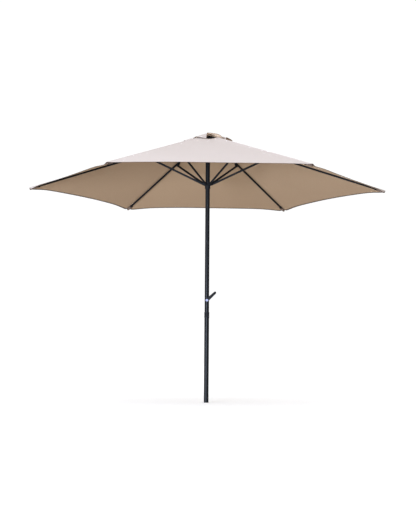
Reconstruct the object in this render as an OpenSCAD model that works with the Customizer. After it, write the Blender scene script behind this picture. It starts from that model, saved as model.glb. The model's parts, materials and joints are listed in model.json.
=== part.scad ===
// Crank-lift patio umbrella: a two-piece steel pole, six ribs, six struts,
// a vented hexagonal canopy, and a crank that winds the lift cord.
// Z points up and the origin is the centre of the pole's foot.

/* [Mast] */
// Outside diameter of the lower pole
lower_d = 38; // [37:0.5:44]
// Length of the lower pole
lower_h = 687; // [600:1:760]
// Outside diameter of the upper pole
upper_d = 36; // [35:0.5:36.5]
// Wall of both poles
pole_wall = 1.5; // [1.2:0.1:2]
// Height of the collar that covers the pole joint
collar_h = 41; // [30:1:50]
// Outside diameter of that collar
collar_d = 42; // [40:0.5:50]

/* [Frame] */
// Height of the rib hinge pins above the foot
hinge_z = 2165; // [2100:1:2300]
// Distance of every hinge pin from the pole axis
hinge_r = 32; // [31:0.5:34]
// Fall of an open rib, degrees below level
rib_slope = 17.2; // [12:0.1:22]
// Width of a rib tube
rib_w = 11; // [11:0.5:14]
// Depth of a rib tube
rib_d = 14; // [13:0.5:18]
// Radius from the axis to a canopy corner
canopy_r = 1460; // [1300:5:1600]
// Strut pin along the rib, from the rib hinge
bracket_x = 496; // [440:1:540]
// Strut pin below the rib's centre line
bracket_drop = 19; // [18:0.5:22]
// Height of the strut pins on the raised runner
runner_z = 1775; // [1700:1:1820]
// Width of a strut
strut_w = 10; // [8:0.5:11]
// Depth of a strut
strut_d = 16; // [14:0.5:17]

/* [Canopy] */
// Height of the main cloth's cone above the foot, on the axis
cloth_z = 2187.5; // [2187:0.5:2200]
// Cloth thickness in the solid model
cloth_t = 1.2; // [0.8:0.1:2]
// Rise of each hem's middle above a straight line, along the cloth
hem_sag = 8; // [2:1:100]
// Radius of the corners of the hole under the vent
hole_r = 150; // [120:1:170]
// Radius of the vent cap's corners
vent_r = 201; // [180:1:230]
// Height of the vent cap's cone on the axis
vent_z = 2204; // [2200:0.5:2230]
// Height of the vent cap's corners
vent_edge_z = 2138; // [2130:0.5:2150]
// Corner radius of the doubled patch at the top of the vent
crown_r = 58; // [50:1:70]

/* [Crank] */
// Height of the crank shaft
crank_z = 825; // [810:1:900]
// Distance from the shaft to the knob
crank_arm_l = 88; // [70:1:100]
// Lean of the arm above level when the canopy is up, degrees
crank_angle = 43; // [0:1:90]
// Radius at which the cord winds on the spool
wind_r = 9.92; // [9.8:0.01:10]
// Lift cord diameter
cord_d = 2.5; // [2:0.1:3]

/* [Hidden] */
RIBS = 6;
$fn = 64;
step = 360 / RIBS;
half = step / 2;

over = 1; // how far a cutting shape runs past what it cuts
bite = 2; // how far two joined shapes run into each other

// Mast: the spigot in the pole joint, the foot plug, and the collar over the joint
lower_r = lower_d / 2;
upper_r = upper_d / 2;
lower_bore_r = lower_r - pole_wall;
bore_r = upper_r - pole_wall;
pole_top = hinge_z - 15;
sleeve_z = [600, 780];
sleeve_wall = 1.5;
plug_h = 20;
collar_rim_h = 6;
collar_waist = 0.8;

// Hub: a slotted head over a neck on the pole; each slot takes a rib's tongue
hub_r = 41;
hub_z = [hinge_z - 10, hinge_z + 7];
hub_neck_r = 22;
hub_neck_z = hinge_z - 59;
slot_in = 23;
tongue_w = 7.6;
tongue_d = 12;
slot_w = tongue_w + 0.6;
pin_r = 2.5;
pin_half = 11;
stud_r = 4;
run_fit = 0.05;

// Vent crown and covered button
button_r = 15.5;
button_h = 9;
button_edge_h = 3;
button_edge_in = 5;
crown_lift = 3;
stud_z = pole_top + 12;

// Ribs: a plug at the hub end, and a cap over the outer end with a flange at its mouth
rib_top = 10; // top of a rib above the line from its hinge pin
rib_lift = rib_top - rib_d / 2;
rib_wall = 1;
rib_round = 3;
rib_start = 15;
rib_end_r = 1430;
rib_len = (rib_end_r - hinge_r) / cos(rib_slope) - rib_start;
rib_plug = 25;
plug_round = rib_round - rib_wall;
tongue_run = 5;
tip_l = 15;
tip_wall = 0.9;
tip_sleeve_l = 62;
flange_l = 12;
flange_w = 17;
flange_z = [-8, 10.4];

// Strut brackets, riveted to both sides of a rib
strut_pin_r = 3;
bracket_t = 2;
bracket_r = 8;
bracket_half = 24;
bracket_edge = [-7, 6];
rivet_x = 16;
rivet_r = 3;
rivet_h = 0.8;
pin_proud = 1.5;

// Struts
strut_wall = 1;
strut_round = 2.5;
strut_end_l = 24;
strut_pin_gap = 0.2;

// Strut pin on the rib, as radius and height, and the strut between its two pins
strut_top = [hinge_r + bracket_x * cos(rib_slope) - bracket_drop * sin(rib_slope),
             hinge_z - bracket_x * sin(rib_slope) - bracket_drop * cos(rib_slope)];
strut_run = strut_top - [hinge_r, runner_z];
strut_len = norm(strut_run);
strut_lean = atan2(strut_run[1], strut_run[0]);

// Runner: a sleeve with six pairs of cheeks, notched from below for the struts' pins
runner_bore = upper_r + 0.4;
runner_r = 21;
runner_low = runner_z - 34;
runner_top = runner_z + 20;
cheek_in = strut_w / 2 + 0.6;
cheek_out = cheek_in + 3;
cheek_r = 40;
cheek_round = 10;
cheek_root = runner_r - 4;
notch_r = strut_pin_r + 0.6;
notch_drop = 12;
notch_flare = [1, 2.5];
lug_w = 10;
lug_h = 24;
ring_h = 21;
ring_rim_h = 4;
ring_t = 1;
ring_rim_t = 1.8;

main_slope = atan(tan(rib_slope) / cos(half));
vent_rib_slope = atan((vent_z - vent_edge_z) / vent_r);
vent_slope = atan(tan(vent_rib_slope) / cos(half));
corner_d = canopy_r * cos(half);
corner_t = canopy_r * sin(half);
seam_gap = 0.4;
hem_steps = 10;
// Half width of the middle fold of a gore, at distance d from the axis, on the main
// cloth and on the vent cloth: the width on the axis, less the taper times d
main_fold_w = 23.2;
main_fold_taper = 0.0178;
vent_fold_w = 45.4;
vent_fold_taper = 0.261;
function main_fold(d) = main_fold_w - main_fold_taper * d;
function vent_fold(d) = min(vent_fold_w - vent_fold_taper * d, d * tan(half) - seam_gap);
vent_full_d = vent_fold_w / (vent_fold_taper + tan(half));
vent_mid_d = vent_r * cos(half);
vent_side_d = vent_full_d + 1.5;
vent_fold_d = [40, vent_mid_d - 5];

// Crank: the shaft runs along Y, and the arm is in front of the pole
spool_r = wind_r - cord_d / 2;
spool_flange_r = 12.2;
spool_flange_t = 1.5;
spool_half = 8;
winding_gap = 1.6;
shaft_r = 4;
arm_y = -34;
arm_t = 9;
arm_root_r = 14.5;
arm_end_r = 10.5;
arm_waist = 0.95;
boss_r = 9;
boss_y = -27;
cap_r = 12.5;
cap_edge = 1.5;
cap_t = 4;
knob_r = 9.5;
knob_l = 30;
knob_gap = 0.5;
knob_wall = 0.2;
knob_pin_r = 3;
port_r = 12;
housing_half = 28;
housing_r = 15.9;
housing_y = [-19, -26];
cavity_r = 13;
spring_room_r = 6.6;
spring_room_y = -18;
spring_r = 5.3;
spring_wire_r = 0.8;
spring_pitch = 1.7;
spring_y = -10.6;
spring_turns = 4;
cord_room = 6;

// Pulley in the hub's neck, and the lift cord
pulley_z = 2128;
pulley_y = 12;
pulley_r = 12;
pulley_w = 7;
pulley_rim = 1;
pulley_room = 1.4;
pulley_slot_z = [pulley_z - 24, pulley_z + 16];
axle_l = 35;
cord_path_r = 10.75;
groove_r = cord_path_r - cord_d / 2 - 0.1;
cord_y = pulley_y + cord_path_r;
cord_start = [wind_r, 0, crank_z + 9];
cord_end = [0, pulley_y - cord_path_r, pulley_z - 0.4];
cord_fall_z = [runner_top - lug_h, pulley_z - 0.5];
cord_hole_z = [runner_top - lug_h - 6, runner_top + 10];

FRAME = [0.17, 0.17, 0.18];
POLE = [0.2, 0.2, 0.21];
BLACK = [0.08, 0.08, 0.08];
BRIGHT = [0.78, 0.78, 0.8];
CLOTH = [0.8, 0.74, 0.68];
CORD = [0.15, 0.15, 0.15];

// ---- Placing ----
module at_rib(i) rotate([0, 0, step * (i - 1)]) translate([hinge_r, 0, hinge_z])
    rotate([0, rib_slope, 0]) children();
module at_strut(i) rotate([0, 0, step * (i - 1)]) translate([hinge_r, 0, runner_z])
    rotate([0, -strut_lean, 0]) children();
// A gore lies between rib i and rib i + 1; X runs down its middle, from the axis
module at_gore(i, z, slope) rotate([0, 0, step * (i - 1) + half]) translate([0, 0, z])
    rotate([0, slope, 0]) children();
module each_rib() for (i = [0:RIBS - 1]) rotate([0, 0, step * i]) children();

// ---- Shapes ----
module rounded(w, d, r) {
    square([w - 2 * r, d], center = true);
    square([w, d - 2 * r], center = true);
    for (sx = [-1, 1], sy = [-1, 1])
        translate([sx * (w / 2 - r), sy * (d / 2 - r)]) circle(r, $fn = 24);
}
module along_x(length) rotate([90, 0, 90]) linear_extrude(length) children();
// A plate drawn in X and Z, thick along Y from y0 to y1
module plate(y0, y1) translate([0, y1, 0]) rotate([90, 0, 0]) linear_extrude(y1 - y0)
    children();
module cross_pin(r, half_l) rotate([90, 0, 0]) cylinder(r = r, h = 2 * half_l, center = true);
module tube(r_out, r_in, z0, z1) translate([0, 0, z0]) difference() {
    cylinder(r = r_out, h = z1 - z0);
    translate([0, 0, -over]) cylinder(r = r_in, h = z1 - z0 + 2 * over);
}
module pin_x(r, length) rotate([0, 90, 0]) cylinder(r = r, h = length, center = true);
// A cylinder along -Y, from y0 down to y1
module front_rod(r, y0, y1) translate([0, y0, crank_z]) rotate([90, 0, 0])
    cylinder(r = r, h = y0 - y1);

// ---- Mast ----
module lower_pole() color(POLE) tube(lower_r, lower_bore_r, 0, lower_h);
module foot_plug() color(BLACK) cylinder(r = lower_bore_r, h = plug_h);
module joint_sleeve() color(FRAME) difference() {
    union() {
        translate([0, 0, sleeve_z[0]])
            cylinder(r = lower_bore_r, h = lower_h - sleeve_z[0]);
        translate([0, 0, lower_h]) cylinder(r = bore_r, h = sleeve_z[1] - lower_h);
    }
    translate([0, 0, sleeve_z[0] - over])
        cylinder(r = bore_r - sleeve_wall, h = sleeve_z[1] - sleeve_z[0] + 2 * over);
}
module joint_collar() color(BLACK) {
    rim_z = lower_h + collar_h - collar_rim_h;
    tube(collar_d / 2, upper_r, lower_h, lower_h + collar_rim_h);
    tube(collar_d / 2 - collar_waist, upper_r, lower_h + collar_rim_h, rim_z);
    tube(collar_d / 2, upper_r, rim_z, lower_h + collar_h);
}
module pulley_slot() {
    w = pulley_w + pulley_room;
    translate([-w / 2, 0, pulley_slot_z[0]])
        cube([w, 2 * hub_neck_r, pulley_slot_z[1] - pulley_slot_z[0]]);
}
module axle_hole() translate([0, pulley_y, pulley_z]) pin_x(pin_r, 2 * hub_r);
module upper_pole() color(POLE) difference() {
    tube(upper_r, bore_r, lower_h, pole_top);
    front_rod(port_r, -bore_r / 2, -upper_r - over);
    pulley_slot();
    axle_hole();
}

module top_hub() color(BLACK) difference() {
    union() {
        translate([0, 0, hub_z[0]]) cylinder(r = hub_r, h = hub_z[1] - hub_z[0]);
        translate([0, 0, hub_neck_z]) cylinder(r = hub_neck_r, h = hub_z[0] - hub_neck_z);
    }
    translate([0, 0, hub_neck_z - over])
        cylinder(r = upper_r, h = pole_top - hub_neck_z + over);
    each_rib() {
        translate([slot_in, -slot_w / 2, hub_z[0] - over])
            cube([hub_r, slot_w, hub_z[1] - hub_z[0] + 2 * over]);
        translate([hinge_r, 0, hinge_z]) cross_pin(pin_r, pin_half);
    }
    translate([0, 0, pole_top - over])
        cylinder(r = stud_r, h = hub_z[1] - pole_top + 2 * over);
    pulley_slot();
    axle_hole();
}
module hub_pins() color(BRIGHT) each_rib()
    translate([hinge_r, 0, hinge_z]) cross_pin(pin_r, pin_half);
module pulley_axle() color(BRIGHT)
    translate([0, pulley_y, pulley_z]) pin_x(pin_r, axle_l);
module cord_pulley() color(BRIGHT) translate([0, pulley_y, pulley_z]) rotate([0, 90, 0])
    rotate_extrude() polygon([
        [pin_r + run_fit, -pulley_w / 2], [pulley_r, -pulley_w / 2],
        [pulley_r, -pulley_w / 2 + pulley_rim], [groove_r, -cord_d / 2],
        [groove_r, cord_d / 2], [pulley_r, pulley_w / 2 - pulley_rim],
        [pulley_r, pulley_w / 2], [pin_r + run_fit, pulley_w / 2]
    ]);

module vent_crown() color(CLOTH) {
    fall = crown_r * tan(vent_rib_slope);
    z = vent_z + crown_lift - fall;
    difference() {
        translate([0, 0, z]) cylinder(r1 = crown_r, r2 = 0, h = fall, $fn = RIBS);
        translate([0, 0, z - cloth_t]) cylinder(r1 = crown_r, r2 = 0, h = fall, $fn = RIBS);
        translate([0, 0, z - crown_r]) cylinder(r = button_r, h = 2 * crown_r);
    }
}
module finial() color(CLOTH) {
    edge_z = vent_z + crown_lift - button_edge_h;
    translate([0, 0, stud_z]) cylinder(r = stud_r, h = edge_z - button_h - stud_z + bite);
    translate([0, 0, edge_z - button_h]) cylinder(r = button_r, h = button_h);
    translate([0, 0, edge_z])
        cylinder(r1 = button_r, r2 = button_r - button_edge_in, h = button_edge_h);
}

// ---- Ribs, on the six radii ----
module rib(i) color(FRAME) at_rib(i) difference() {
    union() {
        translate([rib_start, 0, rib_lift]) along_x(rib_len) difference() {
            rounded(rib_w, rib_d, rib_round);
            rounded(rib_w - 2 * rib_wall, rib_d - 2 * rib_wall, plug_round);
        }
        translate([rib_start, 0, rib_lift])
            along_x(rib_plug) rounded(rib_w - 2 * rib_wall, rib_d - 2 * rib_wall, plug_round);
        translate([0, -tongue_w / 2, -tongue_d / 2])
            cube([rib_start + tongue_run, tongue_w, tongue_d]);
        cross_pin(tongue_d / 2, tongue_w / 2);
    }
    cross_pin(pin_r + run_fit, rib_w);
}
module rib_tip(i) color(BLACK) at_rib(i) translate([rib_start + rib_len, 0, rib_lift]) {
    flange_mid = (flange_z[0] + flange_z[1]) / 2 - rib_lift;
    difference() {
        union() {
            translate([-tip_sleeve_l, 0, 0]) along_x(tip_sleeve_l + tip_l)
                rounded(rib_w + 2 * tip_wall, rib_d + 2 * tip_wall, rib_round + tip_wall);
            translate([-tip_sleeve_l, 0, flange_mid])
                along_x(flange_l) rounded(flange_w, flange_z[1] - flange_z[0], rib_round);
        }
        translate([-tip_sleeve_l - over, 0, 0])
            along_x(tip_sleeve_l + over) rounded(rib_w, rib_d, rib_round);
    }
    translate([tip_l, 0, 0]) cylinder(r = rib_w / 2, h = rib_d - 2, center = true);
}
module strut_bracket(i) color(BLACK) at_rib(i) translate([bracket_x, 0, 0]) {
    outside = rib_w / 2 + bracket_t;
    for (side = [-1, 1]) {
        y0 = side > 0 ? rib_w / 2 : -outside;
        plate(y0, y0 + bracket_t) {
            polygon([[-bracket_half, bracket_edge[1]], [bracket_half, bracket_edge[1]],
                     [bracket_half, bracket_edge[0]], [bracket_r, -bracket_drop],
                     [-bracket_r, -bracket_drop], [-bracket_half, bracket_edge[0]]]);
            translate([0, -bracket_drop]) circle(bracket_r);
        }
        for (x = [-rivet_x, rivet_x]) translate([x, side * (outside + rivet_h / 2), 0])
            cross_pin(rivet_r, rivet_h / 2);
    }
    translate([0, 0, -bracket_drop]) cross_pin(strut_pin_r, outside + pin_proud);
}

// ---- Struts, hinged on the rib brackets and seated in the runner ----
module strut(i) color(FRAME) at_strut(i) difference() {
    union() {
        along_x(strut_len) difference() {
            rounded(strut_w, strut_d, strut_round);
            rounded(strut_w - 2 * strut_wall, strut_d - 2 * strut_wall,
                    strut_round - strut_wall);
        }
        for (x = [0, strut_len - strut_end_l]) translate([x, 0, 0])
            along_x(strut_end_l) rounded(strut_w, strut_d, strut_round);
        for (x = [0, strut_len]) translate([x, 0, 0]) cross_pin(strut_d / 2, strut_w / 2);
        cross_pin(strut_pin_r, cheek_out - strut_pin_gap);
    }
    translate([strut_len, 0, 0]) cross_pin(strut_pin_r + run_fit, strut_w);
}

// ---- Runner ----
module runner() color(BLACK) difference() {
    union() {
        translate([0, 0, runner_low]) cylinder(r = runner_r, h = runner_top - runner_low);
        each_rib() for (side = [-1, 1]) {
            y0 = side > 0 ? cheek_in : -cheek_out;
            plate(y0, y0 + cheek_out - cheek_in) {
                translate([cheek_root, runner_z - cheek_round])
                    square([cheek_r - cheek_root - 8, 2 * cheek_round]);
                translate([cheek_r - cheek_round, runner_z]) circle(cheek_round);
            }
        }
        // Lug that the lift cord is knotted in
        translate([-lug_w / 2, 0, runner_top - lug_h]) cube([lug_w, upper_r + lug_w, lug_h]);
    }
    translate([0, 0, runner_low - over])
        cylinder(r = runner_bore, h = runner_top - runner_low + 2 * over);
    each_rib() translate([hinge_r, 0, runner_z]) {
        cross_pin(notch_r, cheek_out + over);
        plate(-cheek_out - over, cheek_out + over)
            polygon([[-notch_r, 0], [notch_r, 0], [notch_r + notch_flare[1], -notch_drop],
                     [-notch_r - notch_flare[0], -notch_drop]]);
    }
    translate([0, cord_y, cord_hole_z[0]])
        cylinder(r = cord_d / 2, h = cord_hole_z[1] - cord_hole_z[0]);
}
module runner_ring() color(BLACK) {
    tube(runner_r + ring_t, runner_r, runner_low, runner_low + ring_h);
    for (z = [runner_low, runner_low + ring_h - ring_rim_h])
        tube(runner_r + ring_rim_t, runner_r + ring_t, z, z + ring_rim_h);
}

// ---- Crank ----
module crank_housing() color(BLACK) difference() {
    union() {
        translate([0, 0, crank_z - housing_half]) cylinder(r = bore_r, h = 2 * housing_half);
        front_rod(port_r, -bore_r / 2, housing_y[0] - over);
        front_rod(housing_r, housing_y[0], housing_y[1]);
    }
    front_rod(cavity_r, spool_half + over, -spool_half - over);
    front_rod(shaft_r + run_fit, 0, arm_y);
    front_rod(spring_room_r, 0, spring_room_y);
    translate([wind_r - cord_room / 2, -cord_room / 2, crank_z])
        cube([cord_room, cord_room, housing_half + over]);
}
module brake_spring() color(BRIGHT) for (turn = [0:spring_turns - 1])
    translate([0, spring_y - spring_pitch * turn, crank_z]) rotate([90, 0, 0])
        rotate_extrude() translate([spring_r, 0]) circle(spring_wire_r, $fn = 16);
module crank_spool() color(BLACK) {
    front_rod(spool_r, spool_half, -spool_half);
    front_rod(spool_flange_r, spool_half, spool_half - spool_flange_t);
    front_rod(spool_flange_r, spool_flange_t - spool_half, -spool_half);
    front_rod(shaft_r, 0, arm_y - arm_t);
}
module cord_winding() color(CORD) difference() {
    front_rod(wind_r + cord_d / 2, spool_half - winding_gap, winding_gap - spool_half);
    front_rod(spool_r, spool_half, -spool_half);
}
tip_x = crank_arm_l * cos(crank_angle);
tip_z = crank_arm_l * sin(crank_angle);
arm_face_y = arm_y - arm_t;
module crank_arm() color(BLACK) {
    root = arm_waist * arm_root_r;
    end = arm_waist * arm_end_r;
    c = cos(crank_angle);
    s = sin(crank_angle);
    difference() {
        union() {
            translate([0, 0, crank_z]) plate(arm_face_y, arm_y) {
                circle(arm_root_r);
                translate([tip_x, tip_z]) circle(arm_end_r);
                polygon([[-root * s, root * c], [root * s, -root * c],
                         [tip_x + end * s, tip_z - end * c],
                         [tip_x - end * s, tip_z + end * c]]);
            }
            front_rod(boss_r, boss_y, arm_y - bite);
        }
        front_rod(shaft_r, 0, arm_face_y - over);
    }
    translate([tip_x, 0, tip_z]) front_rod(knob_pin_r, arm_face_y + bite, arm_face_y - knob_l);
}
module crank_cap() color(BRIGHT) {
    edge_y = arm_face_y - cap_t + cap_edge;
    front_rod(cap_r, arm_face_y, edge_y);
    translate([0, edge_y, crank_z]) rotate([90, 0, 0])
        cylinder(r1 = cap_r, r2 = cap_r - 2 * cap_edge, h = cap_edge);
}
module crank_knob() color(BLACK)
    translate([tip_x, arm_face_y - knob_gap, crank_z + tip_z]) rotate([90, 0, 0])
        rotate_extrude() polygon([
            [knob_pin_r + run_fit, 0], [knob_r - 1.5, 0], [knob_r - 0.5, 3],
            [knob_r - 2, knob_l / 3], [knob_r, knob_l - 8], [knob_r, knob_l - 3],
            [knob_r - 3, knob_l], [0, knob_l], [0, knob_l - knob_wall],
            [knob_pin_r + run_fit, knob_l - knob_wall]
        ]);

// ---- Lift cord ----
module lift_cord() color(CORD) {
    run = cord_end - cord_start;
    lean = acos(run[2] / norm(run));
    swing = atan2(run[1], run[0]);
    translate(cord_start) rotate([0, lean, swing]) cylinder(r = cord_d / 2, h = norm(run));
    translate([0, pulley_y, pulley_z]) rotate([90, 0, 90]) rotate_extrude(angle = 180)
        translate([cord_path_r, 0]) circle(cord_d / 2, $fn = 16);
}
module lift_cord_fall() color(CORD) translate([0, cord_y, cord_fall_z[0]])
    cylinder(r = cord_d / 2, h = cord_fall_z[1] - cord_fall_z[0]);

// ---- Canopy ----
function hem_d(t) = corner_d - hem_sag * (1 - pow(t / corner_t, 2));
// Half a gore of the main cloth, on side +1 or -1 of its middle, up to the rib's plane
module main_half(side) {
    d0 = hole_r * cos(half);
    edge = corner_t - seam_gap;
    fold_end = main_fold(corner_d - hem_sag) + seam_gap;
    points = concat(
        [[d0, main_fold(d0) + seam_gap], [d0, d0 * tan(half) - seam_gap]],
        [for (n = [0:hem_steps]) let (t = edge + (fold_end - edge) * n / hem_steps)
            [hem_d(t), t]]);
    linear_extrude(cloth_t) polygon([for (p = points) [p[0] / cos(main_slope), side * p[1]]]);
}
module vent_half(side) {
    points = [[vent_side_d, vent_fold(vent_side_d) + seam_gap],
              [vent_side_d, vent_side_d * tan(half) - seam_gap],
              [vent_mid_d, vent_mid_d * tan(half) - seam_gap],
              [vent_mid_d, seam_gap]];
    linear_extrude(cloth_t) polygon([for (p = points) [p[0] / cos(vent_slope), side * p[1]]]);
}
module canopy_sector(i) color(CLOTH) {
    at_gore(i, cloth_z, main_slope) main_half(-1);
    at_gore(i - 1, cloth_z, main_slope) main_half(1);
    at_gore(i, vent_z, vent_slope) vent_half(-1);
    at_gore(i - 1, vent_z, vent_slope) vent_half(1);
}
module gore_fold(i) color(CLOTH) {
    d0 = hole_r * cos(half);
    d1 = corner_d - hem_sag;
    at_gore(i, cloth_z, main_slope) linear_extrude(cloth_t) polygon([
        for (p = [[d0, 1], [d1, 1], [d1, -1], [d0, -1]])
            [p[0] / cos(main_slope), p[1] * main_fold(p[0])]]);
    v0 = vent_fold_d[0];
    v1 = vent_fold_d[1];
    at_gore(i, vent_z, vent_slope) linear_extrude(cloth_t) polygon([
        for (p = [[v0, 1], [vent_full_d, 1], [v1, 1], [v1, -1], [vent_full_d, -1], [v0, -1]])
            [p[0] / cos(vent_slope), p[1] * (vent_fold(p[0]) - seam_gap / 2)]]);
}

lower_pole();
foot_plug();
joint_sleeve();
joint_collar();
upper_pole();
top_hub();
hub_pins();
vent_crown();
finial();
pulley_axle();
cord_pulley();
runner();
runner_ring();
crank_housing();
crank_spool();
brake_spring();
crank_arm();
crank_cap();
crank_knob();
lift_cord();
lift_cord_fall();
cord_winding();
for (i = [1:RIBS]) {
    rib(i);
    rib_tip(i);
    strut_bracket(i);
    strut(i);
    canopy_sector(i);
    gore_fold(i);
}
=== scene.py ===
import json
import math

import bpy
import numpy as np
from mathutils import Euler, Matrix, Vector


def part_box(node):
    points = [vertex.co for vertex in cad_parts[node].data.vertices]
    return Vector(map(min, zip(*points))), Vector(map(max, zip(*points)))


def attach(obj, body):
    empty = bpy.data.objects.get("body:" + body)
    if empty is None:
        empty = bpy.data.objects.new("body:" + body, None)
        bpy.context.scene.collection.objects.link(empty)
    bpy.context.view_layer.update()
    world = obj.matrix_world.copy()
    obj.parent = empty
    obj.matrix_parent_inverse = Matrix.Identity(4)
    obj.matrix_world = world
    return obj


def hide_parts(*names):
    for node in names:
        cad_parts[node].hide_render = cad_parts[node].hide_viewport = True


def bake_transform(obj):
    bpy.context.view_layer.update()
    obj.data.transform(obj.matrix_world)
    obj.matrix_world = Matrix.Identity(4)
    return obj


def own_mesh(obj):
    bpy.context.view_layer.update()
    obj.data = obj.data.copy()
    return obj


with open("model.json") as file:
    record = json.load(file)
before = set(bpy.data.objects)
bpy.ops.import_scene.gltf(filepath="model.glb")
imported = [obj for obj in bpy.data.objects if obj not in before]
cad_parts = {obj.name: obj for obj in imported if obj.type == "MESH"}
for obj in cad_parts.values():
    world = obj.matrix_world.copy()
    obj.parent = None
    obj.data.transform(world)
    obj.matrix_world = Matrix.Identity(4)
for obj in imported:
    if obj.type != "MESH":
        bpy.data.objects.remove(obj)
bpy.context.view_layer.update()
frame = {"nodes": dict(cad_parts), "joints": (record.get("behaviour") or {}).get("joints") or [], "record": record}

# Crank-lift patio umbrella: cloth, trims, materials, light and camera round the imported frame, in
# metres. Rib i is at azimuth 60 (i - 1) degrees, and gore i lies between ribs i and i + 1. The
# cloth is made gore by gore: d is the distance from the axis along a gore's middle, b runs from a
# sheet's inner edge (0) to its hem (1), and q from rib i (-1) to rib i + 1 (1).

NODES = frame["nodes"]
RIBS = 6
STEP = math.radians(60)
HALF = STEP / 2
MM = 0.001
SHARP = math.radians(35)     # a crease sharper than this shows as an edge

# ---- Frame dimensions ----
RIB_HINGE = next(j["pos_m"] for j in frame["joints"] if j["name"] == "rib_1_fold")
HINGE_R = math.hypot(*RIB_HINGE[:2])
HINGE_Z = RIB_HINGE[2]
CANOPY_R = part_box("canopy_sector_1")[1].x
RIB_SLOPE = math.radians(17.2)

# ---- Cloth dimensions ----
CLOTH_Z = 2187.5 * MM        # the main cloth's cone, on the axis
CLOTH_T = 1.2 * MM
HEM_SAG = 8 * MM
# The bow of each gore's hem, and its fall beside the pockets
HEM_RISE = {1: 17 * MM, 2: 9 * MM, 3: 16 * MM, 4: -9 * MM, 5: 3 * MM, 6: -9 * MM}
CORNER_DROP = {1: 11 * MM, 2: 11 * MM, 3: 11 * MM, 4: 13 * MM, 5: 2 * MM, 6: 13 * MM}
HOLE_D = 150 * MM * math.cos(HALF)
CORNER_D = CANOPY_R * math.cos(HALF)
MAIN_FALL = math.tan(RIB_SLOPE) / math.cos(HALF)
GORE_SAG = 7 * MM            # dip of a gore's middle between its ribs
VENT_Z = 2204 * MM
VENT_R = 201 * MM
VENT_FALL = (2204 - 2138) / 201 / math.cos(HALF)     # from the vent's top to its edge
VENT_D = VENT_R * math.cos(HALF)
VENT_TOP_D = 38 * MM
# How far the vent's hem stands open in each gore, and the lift of its corner at each rib
VENT_OPEN = {1: 16 * MM, 2: 20 * MM, 3: 12 * MM, 4: -13 * MM, 5: 31 * MM, 6: 12 * MM}
VENT_CORNER = {1: 2 * MM, 2: 3 * MM, 3: 0, 4: 0, 5: 0, 6: 11 * MM}
VENT_STEP = -0.15            # where across a gore the open half of the vent's hem begins
VENT_STEP_W = 0.04           # how much of the open half the step takes
VENT_DROP = 16 * MM          # fall of the half of a vent hem that lies on the main cloth
VENT_CURL = 1.6              # how much of the vent's lift keeps to its hem
HOLE_DIP = 9 * MM            # fall of the main cloth's inner edge between ribs
CROWN_D = 58 * MM * math.cos(HALF)
HEM_BAND = 20 * MM           # the doubled band along the main hem
HEM_SHADE_W = 15 * MM           # its painted shade: the width of under side darkened where the doubled cloth lets less light through
HEM_EXTRA = 0.7 * MM         # the band's extra thickness
HEM_STEP = 1.5 * MM          # the width over which it begins
STITCH_IN = 4 * MM           # its stitching: distance from the band's inner edge, width, depth
STITCH_W = 1.2 * MM
STITCH_DEPTH = 0.6 * MM
UNDER_SHARE = 0.7            # how much of that relief the under side shows
# The vent's hem band, and the width of painted shade along its under side
VENT_BAND = 9 * MM
VENT_SHADE_W = 1 * MM


def unit(azimuth):
    return np.array([math.cos(azimuth), math.sin(azimuth), 0.0])


def rib_azimuth(i):
    return STEP * (i - 1)


def gore_azimuth(i):
    return rib_azimuth(i) + HALF


def gore_number(i):
    """i, or the gore that it comes round to."""
    return (i - 1) % RIBS + 1


def rib_axes(i):
    """Rib i's direction outward, and the level direction across it."""
    return unit(rib_azimuth(i)), unit(rib_azimuth(i) + math.pi / 2)


def in_gore(i, d, t, z):
    """The point d out along gore i's middle and t across it, towards rib i + 1."""
    a = gore_azimuth(i)
    out, across = unit(a), unit(a + math.pi / 2)
    return out * d + across * t + np.array([0, 0, z])


def link_object(name, data):
    obj = bpy.data.objects.new(name, data)
    bpy.context.scene.collection.objects.link(obj)
    return obj


# ---- Camera ----
CAMERA_PLACE = (0.0072, -9.105, 0.3829)      # before the turn about the pole
CAMERA_TURN = math.radians(-0.703)
CAMERA_PITCH = math.radians(4.591)
CAMERA_ROLL = math.radians(0.396)
SENSOR = 36
FOCAL = 1121 / 530                           # focal length over the sensor's side


def make_camera():
    data = bpy.data.cameras.new("camera")
    data.sensor_width = SENSOR
    data.lens = FOCAL * SENSOR
    cam = link_object("camera", data)
    place = Vector(CAMERA_PLACE)
    place.rotate(Euler((0, 0, CAMERA_TURN)))
    cam.location = place
    cam.rotation_euler = (math.radians(90) + CAMERA_PITCH, 0, CAMERA_TURN)
    cam.rotation_euler.rotate_axis("Z", CAMERA_ROLL)
    bpy.context.scene.camera = cam


# ---- Materials ----
THREAD = 0.9 * MM            # spacing of the weave


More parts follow.
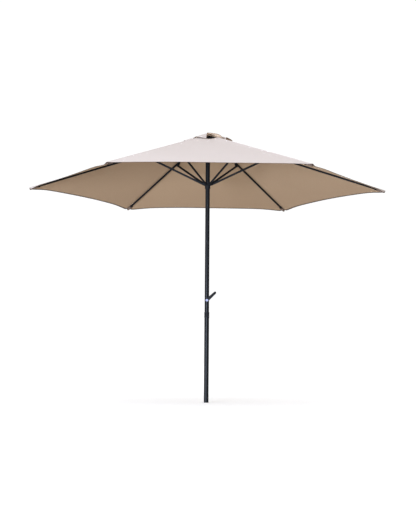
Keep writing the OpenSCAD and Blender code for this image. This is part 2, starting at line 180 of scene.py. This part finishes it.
class Nodes:
    """A short way to wire one material's nodes. A source is an output socket."""

    def __init__(self, name):
        self.material = bpy.data.materials.new(name)
        self.material.use_nodes = True
        self.tree = self.material.node_tree
        self.shader = self.tree.nodes["Principled BSDF"]

    def set(self, **values):
        for name, value in values.items():
            self.shader.inputs[name.replace("_", " ")].default_value = value
        return self

    def add(self, kind, values=(), **props):
        n = self.tree.nodes.new(kind)
        for name, value in props.items():
            setattr(n, name, value)
        for name, value in dict(values).items():
            n.inputs[name].default_value = value
        return n

    def link(self, source, node, into):
        self.tree.links.new(source, node.inputs[into])

    def object_space(self, scale=(1, 1, 1)):
        mapping = self.add("ShaderNodeMapping", {"Scale": scale})
        self.link(self.add("ShaderNodeTexCoord").outputs["Object"], mapping, "Vector")
        return mapping.outputs["Vector"]

    def noise(self, space, scale, detail):
        n = self.add("ShaderNodeTexNoise", {"Scale": scale, "Detail": detail, "Roughness": 0.5})
        self.link(space, n, "Vector")
        return n.outputs["Fac"]

    def map_range(self, source, **values):
        n = self.add("ShaderNodeMapRange", {k.replace("_", " "): v for k, v in values.items()})
        self.link(source, n, "Value")
        return n.outputs["Result"]

    def math(self, op, a, b):
        """a and b combined; b is an output socket or a number."""
        n = self.add("ShaderNodeMath", operation=op)
        self.link(a, n, 0)
        if isinstance(b, float):
            n.inputs[1].default_value = b
        else:
            self.link(b, n, 1)
        return n.outputs[0]

    def set_colour(self, source, low, high, c0, c1):
        """Base colour from c0 to c1 as the source goes from low to high."""
        r = self.add("ShaderNodeValToRGB")
        for element, at, colour in zip(r.color_ramp.elements, (low, high), (c0, c1)):
            element.position = at
            element.color = (*colour, 1)
        self.link(source, r, "Fac")
        self.link(r.outputs["Color"], self.shader, "Base Color")

    def set_gloss(self, noise, low, high, edge=0.95):
        """Roughness from low to high by a noise, rising to edge where the surface turns away."""
        facing = self.add("ShaderNodeLayerWeight", {"Blend": 0.5}).outputs["Facing"]
        rough = self.math("MAXIMUM", self.map_range(noise, To_Min=low, To_Max=high),
                          self.map_range(facing, From_Min=0.03, From_Max=0.35,
                                         To_Min=low, To_Max=edge))
        self.link(rough, self.shader, "Roughness")

    def set_bump(self, height, strength, distance):
        n = self.add("ShaderNodeBump", {"Strength": strength, "Distance": distance})
        self.link(height, n, "Height")
        self.link(n.outputs["Normal"], self.shader, "Normal")


def cloth_material(name, tone, shade):
    """Plain woven polyester: two crossed sets of threads, slubs, and slow changes of tone."""
    m = Nodes(name).set(Roughness=0.86, Specular_IOR_Level=0.25, Sheen_Weight=0.18,
                        Sheen_Roughness=0.5, Sheen_Tint=(*tone, 1))
    space = m.object_space()
    cloud = m.noise(space, 2.2, 4.0)
    slub = m.noise(m.object_space((900, 40, 60)), 1.0, 2.0)
    mixed = m.math("ADD", m.math("MULTIPLY", cloud, 0.6), m.math("MULTIPLY", slub, 0.4))
    m.set_colour(mixed, 0.3, 0.7, shade, tone)
    waves = []
    for direction in ("X", "Y"):
        w = m.add("ShaderNodeTexWave", {"Scale": math.pi / THREAD / 20, "Distortion": 0.6,
                                        "Detail": 1.0, "Detail Scale": 2.0},
                  bands_direction=direction)
        m.link(space, w, "Vector")
        waves.append(w.outputs["Fac"])
    m.set_bump(m.math("ADD", m.math("MULTIPLY", *waves), slub), 0.35, 0.2 * MM)
    return m.material


def coated_metal(name, tone, rough, gloss_level):
    """Powder coat on steel: an orange-peel skin and a little handling wear in the gloss."""
    m = Nodes(name).set(Specular_IOR_Level=gloss_level)
    space = m.object_space()
    m.set_colour(m.noise(m.object_space((1, 1, 0.15)), 14, 4.0), 0.3, 0.75,
                 [c * 0.88 for c in tone], [c * 1.12 for c in tone])
    m.set_gloss(m.noise(space, 60, 3.0), rough - 0.07, rough + 0.1)
    m.set_bump(m.noise(space, 900, 1.0), 0.12, 0.1 * MM)
    return m.material


def black_plastic(name, tone, rough):
    """Glass-filled moulding: fine spark texture and slightly uneven gloss."""
    m = Nodes(name).set(Specular_IOR_Level=0.06)
    space = m.object_space()
    m.set_colour(m.noise(space, 45, 3.0), 0.3, 0.8, tone, [c * 1.7 for c in tone])
    m.set_gloss(m.noise(space, 120, 2.0), rough - 0.08, rough + 0.12)
    m.set_bump(m.noise(space, 2200, 2.0), 0.2, 0.08 * MM)
    return m.material


def bright_metal(name, tone):
    """Turned steel: fine rings round the crank's axis and a worn, cloudy gloss."""
    m = Nodes(name).set(Metallic=1.0)
    space = m.object_space()
    m.set_colour(m.noise(space, 70, 3.0), 0.3, 0.8, [c * 0.7 for c in tone], tone)
    m.link(m.map_range(m.noise(space, 240, 2.0), To_Min=0.2, To_Max=0.42), m.shader, "Roughness")
    m.set_bump(m.noise(m.object_space((1, 0.05, 1)), 1500, 1.0), 0.1, 0.05 * MM)
    return m.material


def cord_material(name):
    """Braided black cord: crossed diagonal strands."""
    m = Nodes(name).set(Roughness=0.8, Sheen_Weight=0.2)
    space = m.object_space()
    m.set_colour(m.noise(space, 400, 2.0), 0.3, 0.7, (0.012, 0.012, 0.012), (0.05, 0.05, 0.05))
    strands = m.add("ShaderNodeTexWave", {"Scale": 120.0}, bands_direction="DIAGONAL")
    m.link(space, strands, "Vector")
    m.set_bump(strands.outputs["Fac"], 0.5, 0.3 * MM)
    return m.material


def backdrop_material():
    """Matt white, with a little light of its own so that the floor stays white all over."""
    return Nodes("backdrop").set(Roughness=1.0, Specular_IOR_Level=0.0,
                                 Base_Color=(0.97, 0.97, 0.97, 1),
                                 Emission_Color=(1, 1, 1, 1), Emission_Strength=0.12).material


OUTER = cloth_material("cloth_outer", (0.498, 0.43, 0.396), (0.476, 0.411, 0.378))
# The main cloth's under side: the top's beige cloth painted much darker, as painted shade under the canopy.
SHADED_UNDER_CLOTH = cloth_material("cloth_under_painted_shade", (0.214, 0.138, 0.079), (0.2, 0.128, 0.073))
# The vent's under side: the same cloth painted much lighter, as painted light shining through it from above.
VENT_UNDER_PAINTED_LIGHT = cloth_material("cloth_vent_under_painted_light", (0.62, 0.46, 0.33), (0.59, 0.435, 0.31))
# The rib pockets: the canopy cloth painted dark brown, as painted shade at the canopy's corners.
POCKET_SHADED_CLOTH = cloth_material("cloth_pocket_painted_shade", (0.1, 0.066, 0.05), (0.09, 0.06, 0.045))
# Dark brown: on the hems' under sides and rims it is painted shade, where doubled cloth lets less light through;
# it also darkens the pockets' mouths and ends.
HEM_SHADE_AND_TRIM = cloth_material("cloth_hem_shade_and_trim", (0.042, 0.024, 0.015), (0.036, 0.021, 0.013))
POLE = coated_metal("pole_coat", (0.005, 0.005, 0.0055), 0.3, 0.065)
FRAME = coated_metal("frame_coat", (0.004, 0.004, 0.0045), 0.4, 0.12)
PLASTIC = black_plastic("black_plastic", (0.005, 0.005, 0.0055), 0.5)
BRIGHT = bright_metal("bright_metal", (0.72, 0.72, 0.74))
CAP_METAL = bright_metal("cap_metal", (0.2, 0.2, 0.27))
CORD = cord_material("lift_cord")


# ---- Meshes ----
def add_mesh(name, verts, faces, materials, smooth=True, slots=None):
    data = bpy.data.meshes.new(name)
    data.from_pydata([tuple(map(float, v)) for v in verts], [], faces)
    for m in materials:
        data.materials.append(m)
    if slots is not None:
        data.polygons.foreach_set("material_index", slots)
    data.polygons.foreach_set("use_smooth", [smooth] * len(data.polygons))
    data.update()
    if smooth:
        data.set_sharp_from_angle(angle=SHARP)
    return link_object(name, data)


def band_faces(rings, n):
    """Quads between rings of n points each."""
    faces = []
    for k in range(rings - 1):
        for c in range(n):
            a, b = k * n + c, k * n + (c + 1) % n
            faces.append((a, a + n, b + n, b))
    return faces


def grid_normals(grid):
    """Upward normals of a grid of points, rows by columns by 3."""
    du = np.gradient(grid, axis=0)
    dv = np.gradient(grid, axis=1)
    n = np.cross(du, dv)
    n /= np.maximum(np.linalg.norm(n, axis=2, keepdims=True), 1e-12)
    return n * np.where(n[..., 2:] < 0, -1, 1)


def cloth_sheet(name, grid, hem_dist, band, shade_w, inner):
    """A closed sheet on a grid: row 0 is its inner edge, the last row its hem. hem_dist is each
    point's distance from the hem. A doubled band runs along the hem. The under side takes inner,
    which is painted shade under the main cloth and painted light under the vent; within shade_w of
    the hem, and on the hem's rim, it is painted darker still, as shade of the doubled cloth."""
    rows, cols = grid.shape[:2]
    normals = grid_normals(grid)
    extra = HEM_EXTRA * np.clip((band - hem_dist) / HEM_STEP, 0, 1)
    stitch = np.exp(-((hem_dist - band + STITCH_IN) / STITCH_W) ** 2) * STITCH_DEPTH
    top = grid + normals * (CLOTH_T + extra - stitch)[..., None]
    under = grid - normals * (extra - stitch)[..., None] * UNDER_SHARE
    verts = np.concatenate([top.reshape(-1, 3), under.reshape(-1, 3)])
    count = rows * cols
    up = np.cross(grid[1, 0] - grid[0, 0], grid[0, 1] - grid[0, 0])[2] > 0
    faces, slots = [], []

    def quad(a, b, c, d, slot):
        faces.append((a, b, c, d) if up else (d, c, b, a))
        slots.append(slot)

    for r in range(rows - 1):
        for c in range(cols - 1):
            a, b = r * cols + c, r * cols + c + 1
            e, f = a + cols, b + cols
            # under faces near the hem take the painted hem shade
            edge = hem_dist[r, c] < shade_w
            quad(a, e, f, b, 0)
            quad(a + count, b + count, f + count, e + count, 2 if edge else 1)
    for c in range(cols - 1):
        quad(c, c + 1, c + 1 + count, c + count, 0)
        a = (rows - 1) * cols + c
        quad(a, a + count, a + 1 + count, a + 1, 2)
    for r in range(rows - 1):
        a = r * cols
        quad(a, a + count, a + cols + count, a + cols, 0)
        a += cols - 1
        quad(a, a + cols, a + cols + count, a + count, 0)
    return add_mesh(name, verts, faces, [OUTER, inner, HEM_SHADE_AND_TRIM], slots=slots)


def sheet_area(grid):
    """Area of a grid's surface."""
    a = np.cross(grid[1:, :-1] - grid[:-1, :-1], grid[:-1, 1:] - grid[:-1, :-1])
    b = np.cross(grid[1:, :-1] - grid[1:, 1:], grid[:-1, 1:] - grid[1:, 1:])
    return float((np.linalg.norm(a, axis=2) + np.linalg.norm(b, axis=2)).sum() / 2)


def declare_sheet(obj, grid):
    """Prints a stretched sheet's size: the rectangle it was cut from, and its own area."""
    area = sheet_area(grid)
    length = float(np.linalg.norm(np.diff(grid[:, grid.shape[1] // 2], axis=0), axis=1).sum())
    width = float(max(np.linalg.norm(np.diff(row, axis=0), axis=1).sum() for row in grid))
    length = max(length, area / width * 1.01)
    print(f"sheet {obj.name}: {width:.3f} x {length:.3f} m, {area:.4f} m2")


# ---- The cloth's shape ----
# Half width of a gore's middle fold: at the axis, how it tapers outward, how it follows the height
# of the gore's middle so that the pieces part evenly in the closed pose, and its least
MAIN_FOLD_W = 23.2 * MM
MAIN_FOLD_TAPER = 0.0178
MAIN_FOLD_RISE = 0.46
MAIN_FOLD_MIN = 0.5 * MM
VENT_FOLD_W = 45.4 * MM
VENT_FOLD_TAPER = 0.261
HOLE_DIP_POWER = 20          # how closely the dip keeps to the main cloth's inner edge
# The hem's fall beside a pocket: where it begins across the gore, over how much, the part next to
# the rib where it ends, and how closely it keeps to the hem
CORNER_FROM = 0.62
CORNER_OVER = 0.3
CORNER_END = 0.05
CORNER_POWER = 14
# Fine relief: small pleats that the rib's seam pulls, and slow billows
PULL = 0.9 * MM
PULL_WAVE = 16 * MM
PULL_REACH = 90 * MM
BILLOW = 1.6 * MM


def gore_rise(i, d):
    """How far gore i's middle bows up at distance d from the axis."""
    return HEM_RISE[gore_number(i)] * (max(d - HOLE_D, 0) / (CORNER_D - HOLE_D)) ** 2


def gore_dip(d):
    """Sag of a gore's middle between its ribs, at distance d from the axis."""
    b = min((d - HOLE_D) / (CORNER_D - HOLE_D), 1)
    sag = GORE_SAG * (0.25 + 0.75 * math.sin(math.pi * b)) * (1 - b)
    return sag + HOLE_DIP * (1 - b) ** HOLE_DIP_POWER


def main_fold(i, d):
    """Half width of the middle fold of gore i, at distance d from the axis."""
    height = gore_rise(i, d) - gore_dip(d)
    return max(MAIN_FOLD_W - MAIN_FOLD_TAPER * d + MAIN_FOLD_RISE * height, MAIN_FOLD_MIN)


def vent_fold(_, d):
    """Half width of the middle fold of the vent, the same in each gore."""
    return min(VENT_FOLD_W - VENT_FOLD_TAPER * d, d * math.tan(HALF))


def main_point(i, b, q):
    """A point of the main cloth in gore i, and its distance from the hem."""
    hem = CORNER_D - HEM_SAG * (1 - q * q)
    d = HOLE_D + (hem - HOLE_D) * b
    t = q * d * math.tan(HALF)
    between = 1 - q * q
    to_rib = 1 - abs(q)
    dip = between * (gore_dip(d) - gore_rise(i, d))
    beside = min(max((abs(q) - CORNER_FROM) / CORNER_OVER, 0), 1) ** 2 * min(to_rib / CORNER_END, 1)
    dip += CORNER_DROP[gore_number(i)] * beside * b ** CORNER_POWER
    pull = PULL * math.sin(t / PULL_WAVE) * math.exp(-to_rib * d / PULL_REACH) * b * between
    billow = BILLOW * between * math.sin(7 * b + 2.1 * i) * math.sin(4.2 * q + 1.3 * i)
    z = CLOTH_Z - MAIN_FALL * d - dip + pull + billow
    return in_gore(i, d, t, z), (hem - HOLE_D) * (1 - b)


def vent_lift(i, b, q):
    """Height of the vent's hem over a flat gore: its first half lies on the main cloth, and the
    second is blown open by as much as VENT_OPEN says for gore i."""
    gore = gore_number(i)
    corner = VENT_CORNER[gore_number(i + 1) if q > 0 else gore]
    low = -VENT_DROP * (1 - abs(q)) ** 0.8 + corner * abs(q) ** 3
    past = max(q - VENT_STEP, 0) / (1 - VENT_STEP)
    high = VENT_OPEN[gore] + (corner - VENT_OPEN[gore]) * past ** 3
    step = min(past / VENT_STEP_W, 1)
    step = step * step * (3 - 2 * step)
    return (low * (1 - step) + high * step) * b ** VENT_CURL


def vent_point(i, b, q):
    """A point of the vent's cloth in gore i, and its distance from the hem."""
    d = VENT_TOP_D + (VENT_D - VENT_TOP_D) * b
    t = q * d * math.tan(HALF)
    z = VENT_Z - VENT_FALL * d + vent_lift(i, b, q)
    return in_gore(i, d, t, z), (VENT_D - VENT_TOP_D) * (1 - b)


def spaced(n, depth, near_hem):
    """n + 1 even values of b from 0 to 1, and those of rows near the hem of a sheet depth deep."""
    return sorted(set([k / n for k in range(n + 1)]) | {1 - x * MM / depth for x in near_hem})


MAIN_ROWS = spaced(36, CORNER_D - HOLE_D, (3, 7, 14, 16, 18, 19.5, 21.5, 24))
VENT_ROWS = spaced(14, VENT_D - VENT_TOP_D, (2, 4, 7, 9, 11))
ACROSS = [1, 0.992, 0.975, 0.94, 0.88, 0.8, 0.7, 0.6, 0.5, 0.4, 0.3, 0.2, 0.1, 0.0]
FINE_ACROSS = [1, 0.98, 0.94, 0.86, 0.75, 0.6, 0.45, 0.3, 0.2, 0.15, 0.135, 0.12, 0.1, 0.05, 0.02,
               0.0]


FOLD_STEPS = 8


def fold_edge(i, fold, d_in, d_out, b):
    """q at the edge of gore i's middle fold, in the row at b."""
    d = d_in + (d_out - d_in) * b
    return float(max(fold(i, d), 0.0) / (d * math.tan(HALF)))


def split_rows(rows):
    """Rows of points with hem distances, as an array of the points and one of the distances."""
    return (np.array([[p for p, _ in row] for row in rows]),
            np.array([[h for _, h in row] for row in rows]))


def sector_grid(i, point, edge, rows, across):
    """The cloth that rib i carries, from the middle fold of gore i - 1 to that of gore i."""
    table = []
    for b in rows:
        s, e = edge(i - 1, b), edge(i, b)
        row = [point(i - 1, b, s + (1 - s) * x) for x in reversed(across)]
        table.append(row + [point(i, b, -(e + (1 - e) * x)) for x in across[1:]])
    return split_rows(table)


def fold_grid(i, point, edge, rows):
    """The middle fold of gore i."""
    across = [2 * k / FOLD_STEPS - 1 for k in range(FOLD_STEPS + 1)]
    return split_rows([[point(i, b, edge(i, b) * x) for x in across] for b in rows])


def main_edge(i, b):
    return fold_edge(i, main_fold, HOLE_D, CORNER_D - HEM_SAG, b)


def vent_edge(i, b):
    return fold_edge(i, vent_fold, VENT_TOP_D, VENT_D, b)


# Near the axis the middle folds take up the whole gore, and the vent's panels end.
VENT_SECTOR_EDGE = 0.93
VENT_SECTOR_ROWS = [b for b in VENT_ROWS if vent_edge(1, b) < VENT_SECTOR_EDGE]


def main_sheet(name, grid, dist, node):
    # Its under side carries the painted shade under the canopy.
    sheet = cloth_sheet(name, grid, dist, HEM_BAND, HEM_SHADE_W, SHADED_UNDER_CLOTH)
    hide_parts(node)
    return sheet


def vent_sheet(name, grid, dist, node):
    # Its under side carries the painted light through the vent.
    sheet = cloth_sheet(name, grid, dist, VENT_BAND, VENT_SHADE_W, VENT_UNDER_PAINTED_LIGHT)
    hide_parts(node)
    return sheet


def hang_on_rib(sheet, i):
    """Rides on rib i, and turns with it as the umbrella closes."""
    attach(sheet, f"rib_{i}")
    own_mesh(sheet)


def make_canopy():
    for i in range(1, RIBS + 1):
        trims = [make_seam(i), make_pocket(i)]
        grid, dist = sector_grid(i, main_point, main_edge, MAIN_ROWS, ACROSS)
        panel = main_sheet(f"canopy_panel_{i}", grid, dist, f"canopy_sector_{i}")
        declare_sheet(panel, grid)
        hang_on_rib(panel, i)

        grid, dist = sector_grid(i, vent_point, vent_edge, VENT_SECTOR_ROWS, FINE_ACROSS)
        vent = vent_sheet(f"vent_panel_{i}", grid, dist, f"canopy_sector_{i}")
        declare_sheet(vent, grid)
        hang_on_rib(vent, i)

        grid, dist = fold_grid(i, main_point, main_edge, MAIN_ROWS)
        fold = main_sheet(f"gore_middle_{i}", grid, dist, f"gore_fold_{i}")
        declare_sheet(fold, grid)
        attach(fold, f"gore_{i}")
        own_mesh(fold)

        grid, dist = fold_grid(i, vent_point, vent_edge, VENT_ROWS)
        middle = vent_sheet(f"vent_middle_{i}", grid, dist, f"gore_fold_{i}")
        declare_sheet(middle, grid)
        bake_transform(middle)


def along_rib(i, r, t, lift):
    """A point over rib i, t to one side, and lift above the inner face of the main cloth."""
    out, across = rib_axes(i)
    z = CLOTH_Z - math.tan(RIB_SLOPE) * r - abs(t) * MAIN_FALL * math.sin(HALF) + lift
    return out * r + across * t + np.array([0, 0, z])


# The seam's section in millimetres: place across the rib, height over the cloth. The low places
# between its high ones are the two rows of stitching.
SEAM = [(-7, 0.1), (-6.4, 0.9), (-5, 1.0), (-4.4, 0.6), (-3.8, 1.0), (0, 1.3),
        (3.8, 1.0), (4.4, 0.6), (5, 1.0), (6.4, 0.9), (7, 0.1)]


SEAM_STATIONS = 90
SEAM_UNDER = 0.2 * MM        # how far the seam reaches into the cloth


def make_seam(i):
    """The felled seam over rib i: a narrow doubled strip."""
    radii = np.linspace(HOLE_D / math.cos(HALF) + 2 * MM, CANOPY_R - 6 * MM, SEAM_STATIONS)
    grid = np.array([[along_rib(i, r, s * MM, CLOTH_T * 1.05 + h * MM) for s, h in SEAM]
                     for r in radii])
    rows, cols = grid.shape[:2]
    under = grid.copy()
    under[..., 2] -= np.array([h for _, h in SEAM]) * MM + SEAM_UNDER
    verts = np.concatenate([grid.reshape(-1, 3), under.reshape(-1, 3)])
    n = rows * cols
    faces = []
    for r in range(rows - 1):
        for c in range(cols - 1):
            a = r * cols + c
            faces.append((a, a + cols, a + cols + 1, a + 1))
            faces.append((a + n, a + 1 + n, a + cols + 1 + n, a + cols + n))
        for c, flip in ((0, False), (cols - 1, True)):
            a = r * cols + c
            f = (a, a + n, a + cols + n, a + cols)
            faces.append(f[::-1] if flip else f)
    for r, flip in ((0, False), (rows - 1, True)):
        for c in range(cols - 1):
            a = r * cols + c
            f = (a, a + 1, a + 1 + n, a + n)
            faces.append(f[::-1] if flip else f)
    seam = add_mesh(f"rib_seam_{i}", verts, faces, [OUTER])
    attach(seam, f"rib_{i}")
    return seam


def ring(n, half_w, half_h, power=3.2):
    """A rounded rectangle of n points, across and up."""
    points = []
    for k in range(n):
        a = 2 * math.pi * k / n
        c, s = math.cos(a), math.sin(a)
        points.append((half_w * math.copysign(abs(c) ** (2 / power), c),
                       half_h * math.copysign(abs(s) ** (2 / power), s)))
    return points


# The pocket's stations, in millimetres: place along the rib, half width, half depth
POCKET = [(0, 8.8, 9.6), (1, 9.6, 10.6), (6, 9.6, 10.6), (7, 9.0, 10.2), (20, 8.8, 10),
          (40, 9.2, 10.6), (52, 9.6, 11.2), (62, 9.6, 11.2), (67, 8.8, 10.2), (70.6, 7, 8),
          (72.6, 4.4, 5.2), (73, 1.0, 1.5)]
POCKET_START = 1386 * MM     # how far from the axis it begins
POCKET_LIFT = 2.5 * MM       # its middle over the line from the rib's hinge pin
POCKET_TOP = 11 * MM         # its top over that line, under the cloth
POCKET_MOUTH = 6             # in millimetres along it, the bound mouth ends
POCKET_CAP = 62              # and the dark end begins


def make_pocket(i):
    """The sewn pocket that holds the end of rib i, with a bound mouth and a rounded, padded end."""
    out, across = rib_axes(i)
    up = np.array([0, 0, 1.0])
    along = out * math.cos(RIB_SLOPE) - up * math.sin(RIB_SLOPE)
    normal = out * math.sin(RIB_SLOPE) + up * math.cos(RIB_SLOPE)
    hinge = out * HINGE_R + up * HINGE_Z
    start = (POCKET_START - HINGE_R) / math.cos(RIB_SLOPE)
    n, verts, slots = 28, [], []
    for x, w, h in POCKET:
        for c, s in ring(n, w * MM, h * MM):
            verts.append(hinge + along * (start + x * MM) + across * c
                         + normal * min(s + POCKET_LIFT, POCKET_TOP))
    for x, _, _ in POCKET[:-1]:
        slots += [int(x < POCKET_MOUTH or x >= POCKET_CAP)] * n
    faces = band_faces(len(POCKET), n)
    faces.append(tuple(range(n)))
    faces.append(tuple(reversed(range((len(POCKET) - 1) * n, len(POCKET) * n))))
    slots += [1, 1]
    # Its cloth carries painted shade; the mouth and end take the darker hem cloth.
    pocket = add_mesh(f"rib_pocket_{i}", verts, faces, [POCKET_SHADED_CLOTH, HEM_SHADE_AND_TRIM], slots=slots)
    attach(pocket, f"rib_{i}")
    return pocket


# The crown patch's rings: distance from the axis, and lift over the vent in millimetres. The low
# ring near the edge is its stitching.
CROWN = [(15 * MM, 2.2), (24 * MM, 2.2), (36 * MM, 2.2), (CROWN_D - 7 * MM, 2.2),
         (CROWN_D - 5.5 * MM, 1.7), (CROWN_D - 4 * MM, 2.2), (CROWN_D, 2.0)]
CROWN_T = 1.1
CROWN_ROUND = 20 * MM        # rings inside this are round, and the others hexagons
# The covered button's outline, in millimetres: radius, height over the vent's top
BUTTON = [(0, 3.0), (5, 2.8), (9, 2.0), (12.5, 0.6), (14.6, -1.6), (15.2, -3.6), (14.4, -5.4),
          (15.3, -6.2), (15.4, -8.0), (14.6, -9.0)]


def make_crown():
    """The doubled patch and covered button at the top of the vent."""
    n = 96
    verts = []
    for under in (0, 1):
        for d, lift in CROWN:
            for k in range(n):
                a = 2 * math.pi * k / n
                off = (a % STEP) - HALF
                r = d / math.cos(off) if d > CROWN_ROUND else d
                z = VENT_Z - VENT_FALL * r * math.cos(off) + (lift - CROWN_T * under) * MM
                verts.append((r * math.cos(a), r * math.sin(a), z))
    rows = len(CROWN)
    count = rows * n
    faces = []
    slots = [0, 1] * ((rows - 1) * n) + [0] * (2 * n)
    for k in range(rows - 1):
        for c in range(n):
            a, b = k * n + c, k * n + (c + 1) % n
            faces.append((a, a + n, b + n, b))
            faces.append((a + count, b + count, b + n + count, a + n + count))
    for c in range(n):
        b = (c + 1) % n
        faces.append((c, b, b + count, c + count))
        a = (rows - 1) * n
        faces.append((a + c, a + c + count, a + b + count, a + b))
    # The patch's under side takes the vent's painted light.
    crown = add_mesh("crown_patch", verts, faces, [OUTER, VENT_UNDER_PAINTED_LIGHT], slots=slots)
    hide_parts("vent_crown")
    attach(crown, "mast")
    button = lathe("crown_button", BUTTON, VENT_Z, 48, [OUTER])
    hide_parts("finial")
    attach(button, "mast")


def lathe(name, profile, z0, n, materials):
    """A turned shape about the pole's axis, from (radius, height) pairs in millimetres."""
    verts = []
    for r, z in profile:
        for k in range(n):
            a = 2 * math.pi * k / n
            r_here = max(r, 0.01) * MM
            verts.append((r_here * math.cos(a), r_here * math.sin(a), z0 + z * MM))
    last = (len(profile) - 1) * n
    faces = band_faces(len(profile), n)
    faces.append(tuple(reversed(range(n))))
    faces.append(tuple(reversed(range(last, last + n))))
    return add_mesh(name, verts, faces, materials)


def tube_mesh(name, points, radius, sides, materials):
    """A round tube along points that run mostly up or down."""
    verts = []
    for x, y, z in points:
        for k in range(sides):
            a = 2 * math.pi * k / sides
            verts.append((x + radius * math.cos(a), y + radius * math.sin(a), z))
    faces = band_faces(len(points), sides)
    faces.append(tuple(reversed(range(sides))))
    faces.append(tuple(range((len(points) - 1) * sides, len(points) * sides)))
    return add_mesh(name, verts, faces, materials)


def make_cord():
    """The part of the lift cord that shows, from the hub's pulley down to the runner's lug."""
    low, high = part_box("lift_cord_fall")
    x, y = (low.x + high.x) / 2, (low.y + high.y) / 2
    radius = (high.x - low.x) / 2
    points = [(x, y, z) for z in np.linspace(high.z, low.z, 60)[::-1]]
    cord = tube_mesh("lift_cord_run", points, radius, 12, [CORD])
    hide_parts("lift_cord_fall")
    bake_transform(cord)


# ---- Finishes of the CAD nodes ----
def finish_nodes():
    by_slot = {"pole_steel": POLE, "frame_steel": FRAME, "black_plastic": PLASTIC,
               "bright_metal": BRIGHT, "canopy_cloth": OUTER, "lift_cord": CORD}
    slots = {s["node"]: s["material_slot"] for s in frame["record"]["subparts"]}
    for name, obj in NODES.items():
        obj.data.materials.clear()
        obj.data.materials.append(CAP_METAL if name == "crank_cap" else by_slot[slots[name]])


# ---- Stage ----
FLOOR_HALF = 40
FLOOR_GAP = 0.5 * MM         # keeps the floor clear of the pole's foot


def make_stage():
    corners = [(x * FLOOR_HALF, y * FLOOR_HALF, 0) for x, y in ((-1, -1), (1, -1), (1, 1), (-1, 1))]
    floor = add_mesh("floor", corners, [(0, 1, 2, 3)], [backdrop_material()], smooth=False)
    floor.location.z = -FLOOR_GAP


def add_light(name, place, target, size, power, colour=(1, 1, 1)):
    data = bpy.data.lights.new(name, "AREA")
    data.shape = "RECTANGLE"
    data.size, data.size_y = size
    data.energy = power
    data.color = colour
    lamp = link_object(name, data)
    lamp.location = place
    lamp.rotation_euler = (Vector(target) - Vector(place)).to_track_quat("-Z", "Y").to_euler()


SKY = 1.04


def make_light():
    """An even white sky, a soft key from the upper left and a low fill under the canopy."""
    world = bpy.data.worlds.new("studio")
    bpy.context.scene.world = world
    world.use_nodes = True
    sky = world.node_tree.nodes["Background"]
    sky.inputs["Color"].default_value = (1, 1, 1, 1)
    sky.inputs["Strength"].default_value = SKY
    add_light("key", (-2.5, -7.5, 7.0), (0, 0, 1.7), (5, 5), 60)
    add_light("low_fill", (-3.2, -8.4, 0.5), (0, 0.8, 1.95), (3, 1.2), 1600, (0.84, 1.0, 1.26))
    bpy.context.scene.view_settings.view_transform = "Standard"


make_camera()
make_cord()
finish_nodes()
make_canopy()
make_crown()
make_stage()
make_light()
